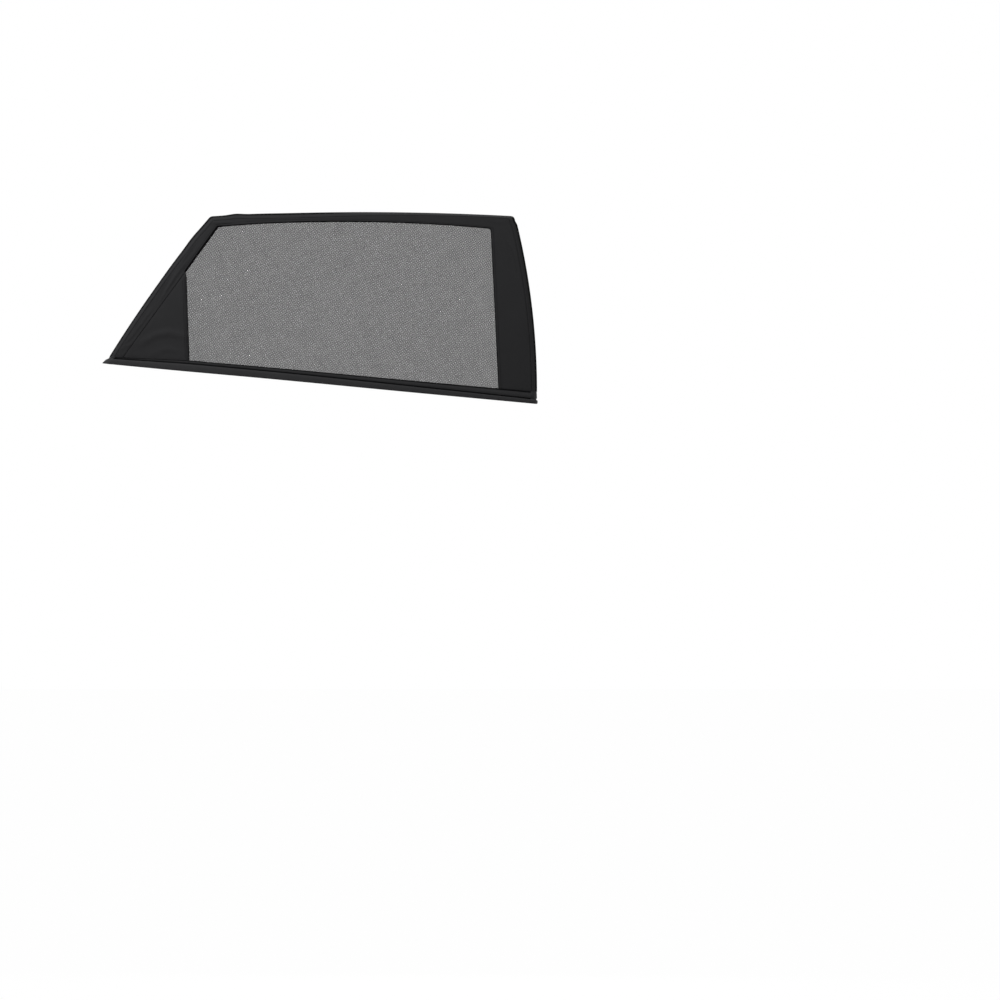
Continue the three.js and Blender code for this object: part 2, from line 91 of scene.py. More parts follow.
def reach(line):
    """How far each point of a line lies from its start, along the line."""
    steps = np.linalg.norm(np.diff(line, axis=0), axis=1)
    return np.concatenate([[0.0], np.cumsum(steps)])


def stretch_of(line, start, end, count):
    """Evenly spaced points of a line, between two distances from its start."""
    wanted = np.linspace(start, end, count)
    return np.stack([np.interp(wanted, reach(line), axis) for axis in line.T], axis=1)


def rounding(before, after, radius):
    """The rounded corner between two lines that meet, in nine points."""
    length = reach(before)[-1]
    start = stretch_of(before, length - radius, length - radius, 1)
    end = stretch_of(after, radius, radius, 1)
    t = np.linspace(0, 1, 9)[:, None]
    return (1 - t) ** 2 * start + 2 * t * (1 - t) * after[0] + t * t * end


REAR_WAY = (REAR_TOP - REAR_FOOT) / np.linalg.norm(REAR_TOP - REAR_FOOT)
REAR_INWARD = np.array([REAR_WAY[1], -REAR_WAY[0]])
REAR_BORDER = 25.4  # width of the cloth along the rear slope
FRONT_BORDER = 49.9  # width of the cloth down the front, at its top
TOP_BORDER_REAR = 21.4  # width of the cloth along the top, at its rear end
TOP_BORDER_FRONT = 25.0  # and at its front end
REAR_ELBOW = 113.0  # where the window's rear edge turns from the slope to upright
REAR_EDGE_LEAN = 0.036  # slope of the upright part
FRONT_EDGE_LEAN = 0.048  # slope of the window's front edge
WINDOW_TOP_BOW = 12.4
WINDOW_CORNER_RADIUS = 5.0


def beside_rear_edge(height):
    """The point of the window's slanted edge at one height."""
    start = REAR_TOP + REAR_BORDER * REAR_INWARD
    return start + REAR_WAY * (height - start[1]) / REAR_WAY[1]


def down_to_hem(start, lean):
    """Where an edge that leans comes down to the hem, which slopes: found in a few steps."""
    foot = start
    for _ in range(8):
        height = hem_top(foot[0])
        foot = np.array([start[0] + lean * (start[1] - height), height])
    return foot


WINDOW_REAR_TOP = beside_rear_edge(-TOP_BORDER_REAR)
WINDOW_ELBOW = beside_rear_edge(-REAR_ELBOW)
WINDOW_FRONT_TOP = FRONT_TOP + np.array([-FRONT_BORDER, -TOP_BORDER_FRONT])
TAPER_START = WINDOW_ELBOW[0] + REAR_EDGE_LEAN * (WINDOW_ELBOW[1] - REAR_FOOT[1])
MOUTH_LENGTH = 875.0


def tapered(end, rear, growth, x):
    """A height along the mouth; under the rear triangle it shrinks to its value at the end."""
    full = rear + growth(np.clip((np.maximum(x, TAPER_START) - REAR_FOOT[0]) / MOUTH_LENGTH, 0.0, 1.0))
    share = np.clip((x - REAR_FOOT[0]) / (TAPER_START - REAR_FOOT[0]), 0.0, 1.0)
    return end + (full - end) * share


def hem_height(x):
    """The whole hem, from its fold to the edge of its upper leaves."""
    return tapered(HEM_END, 20.3, lambda t: 3.9 * t, x)


def casing_height(x):
    """The hem without the flat strip over its stitches."""
    return hem_height(x) - tapered(3.4, 5.8, lambda t: 9.0 * t**2, x)


def hem_top(x):
    return belt_bottom(x) + hem_height(x)


FRONT_FOOT = np.array([FRONT_TOP[0] + FRONT_LEAN, hem_top(FRONT_TOP[0] + FRONT_LEAN)])
WINDOW_REAR_FOOT = down_to_hem(WINDOW_ELBOW, REAR_EDGE_LEAN)
WINDOW_FRONT_FOOT = down_to_hem(WINDOW_FRONT_TOP, FRONT_EDGE_LEAN)

window_top = arc(WINDOW_REAR_TOP, WINDOW_FRONT_TOP, WINDOW_TOP_BOW)
window_front = np.linspace(WINDOW_FRONT_TOP, WINDOW_FRONT_FOOT, 60)
window_corner = rounding(window_top, window_front, WINDOW_CORNER_RADIUS)


def drift(x, z, size, seed):
    """A slow wander of no more than about 1, made of waves some size long, the same in every run."""
    dice = np.random.default_rng(seed)
    total = np.zeros_like(x)
    for _ in range(6):
        way = dice.uniform(0, 2 * math.pi)
        length = size * dice.uniform(0.7, 1.6)
        along = (x * math.cos(way) + z * math.sin(way)) * 2 * math.pi / length
        total = total + np.sin(along + dice.uniform(0, 6.3))
    return total / 3.5


def tubes(runs, profile):
    """Closed tubes along many runs; a run holds its points, its sideways arms and its outward arms."""
    profile = np.asarray(profile, dtype=float)
    sides = len(profile)
    points, faces, first = [], [], 0
    for middle, sideways, outward in runs:
        ring = middle[:, None] + profile[None, :, :1] * sideways[:, None]
        ring = ring + profile[None, :, 1:] * outward[:, None]
        points.append(ring.reshape(-1, 3))
        along = first + sides * np.arange(len(middle) - 1)[:, None]
        here = np.arange(sides)[None]
        onward = (here + 1) % sides
        corners = [along + here, along + onward, along + sides + onward, along + sides + here]
        faces += np.stack(corners, axis=-1).reshape(-1, 4).tolist()
        last = first + sides * (len(middle) - 1)
        faces.append(list(range(first + sides - 1, first - 1, -1)))
        faces.append(list(range(last, last + sides)))
        first += sides * len(middle)
    return np.concatenate(points), faces


def made(name, points, faces, material, slot, *nodes):
    """One piece of the shade: its mesh, its finish, and the solids of the frame that it stands for."""
    mesh = bpy.data.meshes.new(name)
    mesh.from_pydata(np.asarray(points).tolist(), [], faces)
    solid = bmesh.new()
    solid.from_mesh(mesh)
    bmesh.ops.recalc_face_normals(solid, faces=solid.faces)
    solid.to_mesh(mesh)
    solid.free()
    mesh.shade_smooth()
    mesh.materials.append(material)
    thing = bpy.data.objects.new(name, mesh)
    bpy.context.scene.collection.objects.link(thing)
    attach(thing, "root")
    if nodes:
        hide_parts(*nodes)
    return thing


def linear(colour):
    """An sRGB hex colour as the linear values that shaders take."""
    parts = [int(colour[i : i + 2], 16) / 255 for i in (1, 3, 5)]
    return [c / 12.92 if c <= 0.04045 else ((c + 0.055) / 1.055) ** 2.4 for c in parts] + [1.0]


def add(tree, kind, values=None, links=None, **settings):
    """Adds a node with its settings, the values of its sockets and the links into them."""
    new = tree.nodes.new(kind)
    for name, value in settings.items():
        setattr(new, name, value)
    for socket, value in (values or {}).items():
        new.inputs[socket].default_value = value
    for socket, source in (links or {}).items():
        tree.links.new(source, new.inputs[socket])
    return new


METRE_WAVE = 0.314  # scale of a wave texture whose ribs lie one metre apart

# Warp-knitted polyester: matt filament yarn, dyed black, a little paler where the yarn is worn fluffy.
knitted_polyester = bpy.data.materials.new("warp_knitted_polyester")
knitted_polyester.use_nodes = True
tree = knitted_polyester.node_tree
tree.nodes.clear()
place = add(tree, "ShaderNodeTexCoord")
fluff = add(tree, "ShaderNodeTexNoise", {"Scale": 90.0, "Detail": 3.0}, {"Vector": place.outputs["Object"]})
# filaments lie 0.1 mm apart; drawn 0.5 mm apart so that they show
fineness = {"Scale": 2000.0, "Detail": 1.0}
filaments = add(tree, "ShaderNodeTexNoise", fineness, {"Vector": place.outputs["Object"]})
dyes = {"A": linear("#2a2a2b"), "B": linear("#39393a")}
dye = add(tree, "ShaderNodeMix", dyes, {"Factor": fluff.outputs["Fac"]}, data_type="RGBA")
raised = {"Strength": 0.4, "Distance": 0.0001}
relief = add(tree, "ShaderNodeBump", raised, {"Height": filaments.outputs["Fac"]})
yarn = add(
    tree,
    "ShaderNodeBsdfPrincipled",
    {"Roughness": 0.8, "IOR": 1.5, "Specular IOR Level": 0.25},
    {"Base Color": dye.outputs["Result"], "Normal": relief.outputs["Normal"]},
)
# each side of the yarn lets two thirds of the light pass between its filaments
between = add(tree, "ShaderNodeBsdfTransparent")
shaders = {1: between.outputs["BSDF"], 2: yarn.outputs["BSDF"]}
loose = add(tree, "ShaderNodeMixShader", {"Fac": 0.335}, shaders)
add(tree, "ShaderNodeOutputMaterial", links={"Surface": loose.outputs["Shader"]})

# the net of the real shade is about 1.5 mm fine; drawn 2.15 mm fine so that it shows
YARN_PITCH = 2.15
YARN_WIDTH = 1.35  # flat, loosely twisted yarn, which light gets through
YARN_HEIGHT = 0.36
YARN_WANDER = 0.2  # how far a yarn strays from its straight course
NET_HEIGHT = 18.05  # middle of the net over the middle plane of the pocket
NET_LAP = 5.0  # net tucked under the cloth


def window_limits():
    """The window's edges, grown by the lap, as outward ways and the distances that they allow."""
    rear, front = [WINDOW_REAR_FOOT, WINDOW_ELBOW], [WINDOW_FRONT_TOP, WINDOW_FRONT_FOOT]
    corners = np.concatenate([rear, window_top[::12], front])
    edges = np.roll(corners, -1, axis=0) - corners
    keep = np.linalg.norm(edges, axis=1) > 1.0
    corners, edges = corners[keep], edges[keep]
    ways = np.stack([-edges[:, 1], edges[:, 0]], axis=1) / np.linalg.norm(edges, axis=1)[:, None]
    ways *= np.sign(np.sum(ways * (corners - corners.mean(axis=0)), axis=1))[:, None]
    return ways, np.sum(ways * corners, axis=1) + NET_LAP


def net_runs(side, turns, seed):
    """All yarns of one window: two sets that cross, one lying on the other."""
    ways, limits = window_limits()
    dice = np.random.default_rng(seed)
    runs = []
    for layer, turn in enumerate(turns):
        along = np.array([math.cos(math.radians(turn)), math.sin(math.radians(turn))])
        across = np.array([-along[1], along[0]])
        for k in range(-400, 401):
            start = across * k * YARN_PITCH + np.array([30.0, -180.0])
            room = limits - ways @ start
            slope = ways @ along
            ahead = np.min(room[slope > 1e-6] / slope[slope > 1e-6])
            back = np.max(room[slope < -1e-6] / slope[slope < -1e-6])
            if ahead - back < 6.0:
                continue
            count = max(2, math.ceil((ahead - back) / 14.0) + 1)
            flat = start + np.linspace(back, ahead, count)[:, None] * along
            x = flat[:, 0] + YARN_WANDER * drift(flat[:, 0], flat[:, 1], 110.0, seed)
            z = flat[:, 1] + YARN_WANDER * drift(flat[:, 0], flat[:, 1], 90.0, seed + 1)
            height = NET_HEIGHT + (0.5 - layer) * YARN_HEIGHT
            middle = in_place(x, np.full(count, side * height), z)
            width = YARN_WIDTH * (1 + 0.03 * dice.normal()) * (1 + 0.04 * dice.normal(size=count))
            sideways = np.zeros((count, 3))
            sideways[:, 0] = across[0] * width / 2000
            sideways[:, 2] = across[1] * width / 2000
            outward = np.zeros((count, 3))
            outward[:, 1] = side * YARN_HEIGHT / 2000
            runs.append((middle, sideways, outward))
    return runs


DIAMOND = [(1, 0), (0, 1), (-1, 0), (0, -1)]  # section of a yarn
# the yarns of the two faces run at other slants, so that one net doesn't hide behind the other
CUTS = [("outer", OUTSIDE, (46.0, 134.0), 11), ("inner", INSIDE, (15.0, 105.0), 23)]
for word, side, turns, seed in CUTS:
    points, faces = tubes(net_runs(side, turns, seed), DIAMOND)
    window = f"{word}_mesh_window"
    made(f"{word}_net", points, faces, knitted_polyester, "knitted_mesh", window)


# Cloth round the windows
# A band of black polyester jersey with elastane, cut in one length and sewn round each window.
# It turns round the frame's edge to the seam; at the window its edge is turned under and stitched.
REAR_BORDER_FOOT = 28.0  # width of the rear border at the hem
BORDER_REAR_FOOT = np.array([REAR_FOOT[0] + REAR_BORDER_FOOT, hem_top(REAR_FOOT[0] + REAR_BORDER_FOOT)])
EDGE_WRAP = 12.0  # width over which the cloth turns round the frame's edge
HALF_SEAM = 0.15
REAR_CORNER_RADIUS = 4.5
FRONT_CORNER_RADIUS = 9.0
JERSEY = 0.6  # thickness of one layer
TURNED_HEM = 8.0
TUCK_LENGTH = 3.0  # cloth that goes down behind the hem
STITCHED_IN = 10.8  # row of stitches inside the outline, which holds the seam allowance
GROOVE = 0.9  # how deep that row draws the cloth in

rear_edge = arc(REAR_FOOT, REAR_TOP, 5.8)
top_edge = arc(REAR_TOP, FRONT_TOP, 8.6)
front_edge = arc(FRONT_TOP, FRONT_FOOT, 11.3)
rear_corner = rounding(rear_edge, top_edge, REAR_CORNER_RADIUS)
front_corner = rounding(top_edge, front_edge, FRONT_CORNER_RADIUS)


def trimmed(line, start, end):
    """The line without its ends, which the rounded corners take up."""
    return stretch_of(line, start, reach(line)[-1] - end, 200)


def paired(outline, inner, step=3.6):
    """An equal number of points on both lines, at the same shares of their lengths."""
    count = max(2, math.ceil(reach(outline)[-1] / step) + 1)
    return [stretch_of(line, 0, reach(line)[-1], count) for line in (outline, inner)]


rear_length = reach(rear_edge)[-1]
elbow_at = rear_length * (1 - REAR_ELBOW / (REAR_TOP[1] - REAR_FOOT[1]))
rear_low = paired(stretch_of(rear_edge, 0, elbow_at, 200), np.array([BORDER_REAR_FOOT, WINDOW_ELBOW]))
rear_slope = stretch_of(rear_edge, elbow_at, rear_length - REAR_CORNER_RADIUS, 200)
rear_high = paired(
    np.concatenate([rear_slope, rear_corner[1:5]]),
    np.array([WINDOW_ELBOW, WINDOW_REAR_TOP]),
)
top_straight = trimmed(top_edge, REAR_CORNER_RADIUS, FRONT_CORNER_RADIUS)
top = paired(
    np.concatenate([rear_corner[4:], top_straight[1:], front_corner[1:5]]),
    np.concatenate([trimmed(window_top, 0.0, WINDOW_CORNER_RADIUS), window_corner[1:5]]),
)
front = paired(
    np.concatenate([front_corner[4:], trimmed(front_edge, FRONT_CORNER_RADIUS, 0.0)[1:]]),
    np.concatenate([window_corner[4:], trimmed(window_front, WINDOW_CORNER_RADIUS, 0.0)[1:]]),
)
outline = np.concatenate([rear_low[0], rear_high[0][1:], top[0][1:], front[0][1:]])
inner_edge = np.concatenate([rear_low[1], rear_high[1][1:], top[1][1:], front[1][1:]])

# At the window the cloth stops a little short, to leave room for its binding; the pull of the rear
# corner lifts the rear half of the window's top
BINDING_ROOM = 0.45
elbow = len(rear_low[0])
across = outline[elbow:] - inner_edge[elbow:]
inner_edge[elbow:] += BINDING_ROOM * across / np.linalg.norm(across, axis=1)[:, None]
lifted = slice(elbow + len(rear_high[0]), elbow + len(rear_high[0]) + len(top[0]))
inner_edge[lifted, 1] += 0.8 * np.exp(-(((inner_edge[lifted, 0] + 140.0) / 90.0) ** 2))

# The ends run on a little below the hem's upper edge
rear_down = (BORDER_REAR_FOOT - WINDOW_ELBOW) / np.linalg.norm(BORDER_REAR_FOOT - WINDOW_ELBOW)
front_down = (WINDOW_FRONT_FOOT - WINDOW_FRONT_TOP) / np.linalg.norm(WINDOW_FRONT_FOOT - WINDOW_FRONT_TOP)


def with_tucked_ends(line):
    first, end = line[0] + rear_down * TUCK_LENGTH, line[-1] + front_down * TUCK_LENGTH
    return np.concatenate([[first], line, [end]])


outline = with_tucked_ends(outline)
inner_edge = with_tucked_ends(inner_edge)

# Puckers where the seam gathers the edge: place on the outline, height, half width
PUCKERS = [
    ((-187.0, 3.0), 2.2, 17.0),
    ((-150.0, 5.0), 0.9, 50.0),
    ((-277.0, -42.0), 1.6, 26.0),
    ((-310.0, -90.0), 0.7, 50.0),
    ((389.0, -7.0), -2.6, 6.5),
]
ways = np.gradient(outline, axis=0)
ways /= np.linalg.norm(ways, axis=1)[:, None]
out_ways = np.stack([-ways[:, 1], ways[:, 0]], axis=1)
for spot, height, half in PUCKERS:
    away = np.linalg.norm(outline - np.array(spot), axis=1)
    outline = outline + out_ways * (height * np.exp(-((away / half) ** 2)))[:, None]


# Tension folds of the cloth: points of the crest, height and half width, in millimetres
FOLDS = [
    ([(-246, -14), (-282, -70), (-322, -138), (-338, -168)], 2.2, 3.4),
    ([(-262, -62), (-290, -96), (-326, -150), (-352, -190)], 1.8, 3.0),
    ([(-288, -92), (-310, -122), (-330, -152)], 1.9, 3.4),
    ([(-330, -128), (-360, -172), (-392, -216)], 1.7, 2.8),
    ([(-352, -182), (-384, -226), (-412, -262)], 1.7, 3.0),
    ([(-250, -9), (-228, -13), (-196, -12)], 1.9, 3.4),
    ([(-232, -12), (-190, -16), (-140, -15)], 1.2, 4.0),
    ([(-384, -262), (-350, -243), (-322, -238), (-296, -246), (-284, -262)], 3.8, 7.5),
    ([(-360, -283), (-330, -272), (-300, -277)], 1.9, 6.0),
    ([(-420, -270), (-398, -262), (-384, -248)], 1.8, 4.0),
    ([(362, -20), (384, -60), (396, -110), (402, -150)], 1.5, 4.5),
    ([(352, -26), (366, -70), (374, -128)], 1.0, 5.0),
    ([(330, -8), (352, -12), (374, -8)], 1.1, 3.5),
    ([(412, -330), (396, -300), (388, -260)], 1.1, 6.0),
]


def fold_height(x, z):
    """How far folds and small unevenness lift the cloth off its even face."""
    lift = 0.16 * drift(x, z, 55.0, 5) + 0.08 * drift(x, z, 21.0, 6)
    spots = np.stack([x, z], axis=-1)
    for crest, height, half in FOLDS:
        crest = np.array(crest, dtype=float)
        line = stretch_of(crest, 0, reach(crest)[-1], 25)
        gaps = np.linalg.norm(spots[..., None, :] - line, axis=-1)
        nearest = gaps.argmin(axis=-1)
        fade = np.sin(math.pi * (nearest + 1.5) / 27.0) ** 0.7
        away = gaps.min(axis=-1) / half
        # a ridge, with a shallow hollow on both sides
        ridge = np.exp(-(away**2)) - 0.35 * np.exp(-((away / 1.9) ** 2))
        lift = lift + height * fade * ridge
    return lift


def tuck(x, z):
    """How far the cloth is drawn in, where it goes behind the hem."""
    share = np.clip((4.0 - (z - hem_top(x))) / 4.0, 0.0, 1.0)
    return 0.75 * share * share * (3 - 2 * share)


def loft(sections, around=False):
    """Closed skin over rings of equally many points; the ends are capped, unless it goes all around."""
    sections = np.asarray(sections)
    count, sides = sections.shape[:2]
    last = count if around else count - 1
    along = sides * np.arange(last)[:, None]
    onward = sides * ((np.arange(last) + 1) % count)[:, None]
    here = np.arange(sides)[None]
    beside = (here + 1) % sides
    corners = [along + here, along + beside, onward + beside, onward + here]
    faces = np.stack(corners, axis=-1).reshape(-1, 4).tolist()
    if not around:
        faces.append(list(range(sides - 1, -1, -1)))
        faces.append(list(range(sides * (count - 1), sides * count)))
    return sections.reshape(-1, 3), faces


def band_section(width):
    """Across the band, from the seam: way inward, height over the middle plane, turn round the edge."""
    # over the edge and down the groove of the stitches, over the face, and round the turned edge
    across = [0.0, 0.15, 0.6, 1.3, 2.3, 3.6, 5.0, 6.6, 8.2, 9.4, 10.2, 10.6, 11.0, 11.4, EDGE_WRAP]
    across = np.array(across)
    turns = np.arccos(1 - across / EDGE_WRAP)
    out = [(s, HALF_SEAM + (HALF_DEPTH - HALF_SEAM) * math.sin(t), t) for s, t in zip(across, turns)]
    out += [(s, HALF_DEPTH, math.pi / 2) for s in np.linspace(EDGE_WRAP, width - 0.7, 14)[1:]]
    out = [(s, h - GROOVE * math.exp(-(((s - STITCHED_IN) / 0.8) ** 2)), t) for s, h, t in out]
    edge = [(width - 0.25, 19.85), (width, 19.4), (width - 0.25, 18.95), (width - 0.7, 18.8)]
    turned = width - TURNED_HEM
    edge += [(width - 0.5 * TURNED_HEM, 18.8), (turned + 0.3, 18.85), (turned, 19.15)]
    out += [(s, h, math.pi / 2) for s, h in edge]
    # back along the inside of the cloth
    inside = HALF_DEPTH - JERSEY
    out += [(s, inside - 0.1, math.pi / 2) for s in np.linspace(turned - 0.2, EDGE_WRAP + 2.0, 3)]
    for t in np.linspace(math.pi / 2, 0, 7)[:-1]:
        depth = JERSEY + (EDGE_WRAP - JERSEY) * (1 - math.cos(t))
        out.append((depth, HALF_SEAM + (inside - 0.5 - HALF_SEAM) * math.sin(t), t))
    out.append((JERSEY, HALF_SEAM, 0.0))
    return np.array(out)


def on_band(i, inward, height, turn, side):
    """A point of the band at one station of the outline, with its folds and its tuck behind the hem."""
    inward, height, turn = [np.asarray(value, dtype=float) for value in (inward, height, turn)]
    across = inner_edge[i] - outline[i]
    width = np.linalg.norm(across)
    spot = outline[i] + (across / width) * inward[:, None]
    x, z = spot[:, 0], spot[:, 1]
    settle = np.clip((width - inward) / 6.0, 0.15, 1.0) * np.clip(inward / 10.0, 0.0, 1.0)
    drawn = tuck(x, z)
    spot = spot + (across / width) * (drawn * np.cos(turn))[:, None]
    lifted = height - drawn * np.sin(turn) + settle * fold_height(x, z)
    return in_place(spot[:, 0], side * lifted, spot[:, 1])


def jersey(name, dark, pale, worn):
    """Polyester jersey with elastane: soft matt black knit, whose wales and short nap take the light."""
    made_of = bpy.data.materials.new(name)
    made_of.use_nodes = True
    tree = made_of.node_tree
    tree.nodes.clear()
    place = add(tree, "ShaderNodeTexCoord").outputs["Object"]
    # wales and courses lie 0.6 mm apart; drawn 1.8 and 1.4 mm apart so that they show
    ribs = {"Distortion": 0.6, "Detail": 1.0}
    across = {"Scale": METRE_WAVE / 0.0018, **ribs}
    wales = add(tree, "ShaderNodeTexWave", across, {"Vector": place}, bands_direction="X")
    upward = {"Scale": METRE_WAVE / 0.0014, **ribs}
    courses = add(tree, "ShaderNodeTexWave", upward, {"Vector": place}, bands_direction="Z")
    links = {0: wales.outputs["Fac"], 1: courses.outputs["Fac"]}
    knit = add(tree, "ShaderNodeMath", links=links, operation="MULTIPLY").outputs["Value"]
    nap = add(tree, "ShaderNodeTexNoise", {"Scale": 700.0, "Detail": 2.0}, {"Vector": place})
    relief = add(tree, "ShaderNodeMath", links={0: knit, 1: nap.outputs["Fac"]}, operation="ADD")
    raised = {"Strength": 0.5, "Distance": 0.00015}
    bump = add(tree, "ShaderNodeBump", raised, {"Height": relief.outputs["Value"]})
    # the dye is uneven over some centimetres, and the tops of the loops are paler
    patches = add(tree, "ShaderNodeTexNoise", {"Scale": 14.0, "Detail": 4.0}, {"Vector": place})
    dyes = {"A": linear(dark), "B": linear(pale)}
    dye = add(tree, "ShaderNodeMix", dyes, {"Factor": patches.outputs["Fac"]}, data_type="RGBA")
    links = {"A": dye.outputs["Result"], "Factor": knit}
    loops = add(tree, "ShaderNodeMix", {"B": linear(worn)}, links, data_type="RGBA")
    sheen = {"Sheen Weight": 0.04, "Sheen Roughness": 0.5}
    cloth = add(
        tree,
        "ShaderNodeBsdfPrincipled",
        {"Roughness": 0.9, "IOR": 1.5, "Specular IOR Level": 0.08, **sheen},
        {"Base Color": loops.outputs["Result"], "Normal": bump.outputs["Normal"]},
    )
    add(tree, "ShaderNodeOutputMaterial", links={"Surface": cloth.outputs["BSDF"]})
    return made_of


# stretched over the frame, the knit opens; this is the band's own black, and the hem's paler copy of it is
# painted light
stretch_jersey = jersey("stretch_jersey", "#1a1a1b", "#212122", "#282829")

for word, side in (("outer", OUTSIDE), ("inner", INSIDE)):
    sections = []
    for i in range(len(outline)):
        inward, height, turn = band_section(np.linalg.norm(inner_edge[i] - outline[i])).T
        sections.append(on_band(i, inward, height, turn, side))
    points, faces = loft(sections)
    made(
        f"{word}_cloth_band",
        points,
        faces,
        stretch_jersey,
        "stretch_cloth",
        f"{word}_top_border",
        f"{word}_front_border",
        f"{word}_rear_border",
    )


# Rear gussets
# A triangle of the same jersey fills each face between the rear band, the window and the hem.
# Its slanted side is sewn to the band, its upright side is turned under, and its foot is behind the hem.
GUSSET_TIP = 3.0
SEAM_GAP = 0.15
SEAM_DIP = 0.95  # how deep the seam draws the cloth in
DIP_REACH = 2.2  # and how far from the seam that fades


def gusset_level(share):
    """The two ends of one level across the gusset, at its seam with the band and at the window."""
    drop = rear_down * TUCK_LENGTH
    low = [BORDER_REAR_FOOT + drop, WINDOW_REAR_FOOT + np.array([0.0, -TUCK_LENGTH])]
    rise = share * (WINDOW_ELBOW[1] - GUSSET_TIP - low[0][1]) / (WINDOW_ELBOW[1] - low[0][1])
    left, right = [corner + (WINDOW_ELBOW - corner) * rise for corner in low]
    return left, right, np.linalg.norm(right - left)


def on_gusset(share, inward, height, side):
    """Points of the gusset at one level, counted from its seam, with its folds and its tuck."""
    left, right, width = gusset_level(share)
    inward, height = np.asarray(inward, dtype=float), np.asarray(height, dtype=float)
    spot = left + (right - left) / width * inward[:, None]
    x, z = spot[:, 0], spot[:, 1]
    settle = np.clip((width - inward) / 6.0, 0.15, 1.0) * np.clip(0.2 + inward / 8.0, 0.0, 1.0)
    return in_place(x, side * (height - tuck(x, z) + settle * fold_height(x, z)), z)


def gusset_section(share, side):
    """One level across the gusset: from its seam to its turned edge at the window, and back inside."""
    width = gusset_level(share)[2]
    turned = min(TURNED_HEM, 0.6 * width)
    roll = min(0.7, 0.3 * width)
    start = min(SEAM_GAP, 0.1 * width)
    over = start + (width - roll - start) * np.linspace(0, 1, 36) ** 1.4
    upper = [(s, HALF_DEPTH - SEAM_DIP * math.exp(-s / DIP_REACH)) for s in over]
    edge = [(width - 0.36 * roll, 19.85), (width, 19.4), (width - 0.36 * roll, 18.95), (width - roll, 18.8)]
    under = [(width - 0.7 * turned, 18.8), (width - turned, 19.1)]
    back = np.linspace(width - turned, start, 12)[1:]
    inside = [(s, HALF_DEPTH - JERSEY - SEAM_DIP * math.exp(-s / DIP_REACH)) for s in back]
    inward, height = np.array(upper + edge + under + inside).T
    return on_gusset(share, inward, height, side)


for word, side in (("outer", OUTSIDE), ("inner", INSIDE)):
    points, faces = loft([gusset_section(share, side) for share in np.linspace(0, 1, 60)])
    triangle = f"{word}_rear_gusset"
    made(f"{word}_gusset", points, faces, stretch_jersey, "stretch_cloth", triangle)


# Hem round the mouth
# A folded strip of jersey holds the lower edges of both faces between its two upper leaves.
# Below the stitching its fold is a casing for the elastic, which gathers it. Its jersey is a paler copy of
# the band's: painted light, for the sheen on its rounded lower faces.
hem_jersey_painted_light = jersey("hem_jersey_painted_light", "#1f1f20", "#2a2a2b", "#333334")
GATHER = 0.22  # height of the gathers
HEM_REAR_SLANT = 1.15  # lean of the hem's end at the rear foot
HEM_FRONT_SLANT = -0.05  # and at the front foot


FOLD_LINE = -1.6  # the lowest line of the fold, inward from the face


def mouth_stations():
    """All round the mouth: x, turn round the pocket's edge and side, from the rear seam and back to it."""
    quarter = np.linspace(0, math.pi / 2, 9)
    start, end = REAR_FOOT[0], FRONT_FOOT[0]
    straight = np.linspace(start + EDGE_WRAP, end - EDGE_WRAP, 270)[1:-1]
    half = [(start + EDGE_WRAP * (1 - math.cos(t)), t) for t in quarter]
    half += [(x, math.pi / 2) for x in straight]
    half += [(end - EDGE_WRAP * (1 - math.cos(t)), math.pi - t) for t in quarter[::-1]]
    there = [(x, t, OUTSIDE) for x, t in half]
    back = [(x, t, INSIDE) for x, t in half[1:-1][::-1]]
    return there + back


def on_mouth(station, outward, up):
    """Points of the hem: outward from the face, and up from the lower edge."""
    x, turn, side = station
    outward, up = np.asarray(outward, dtype=float), np.asarray(up, dtype=float)
    share = np.clip((x - REAR_FOOT[0]) / (FRONT_FOOT[0] - REAR_FOOT[0]), 0, 1)
    slant = HEM_REAR_SLANT + (HEM_FRONT_SLANT - HEM_REAR_SLANT) * share
    way = np.array([-HALF_DEPTH * math.cos(turn), EDGE_WRAP * math.sin(turn)])
    way /= np.linalg.norm(way)
    y = HALF_DEPTH * math.sin(turn) + outward * way[1]
    z = belt_bottom(x) + up
    return in_place(x + outward * way[0] + slant * (z - hem_top(x)), side * y, z)


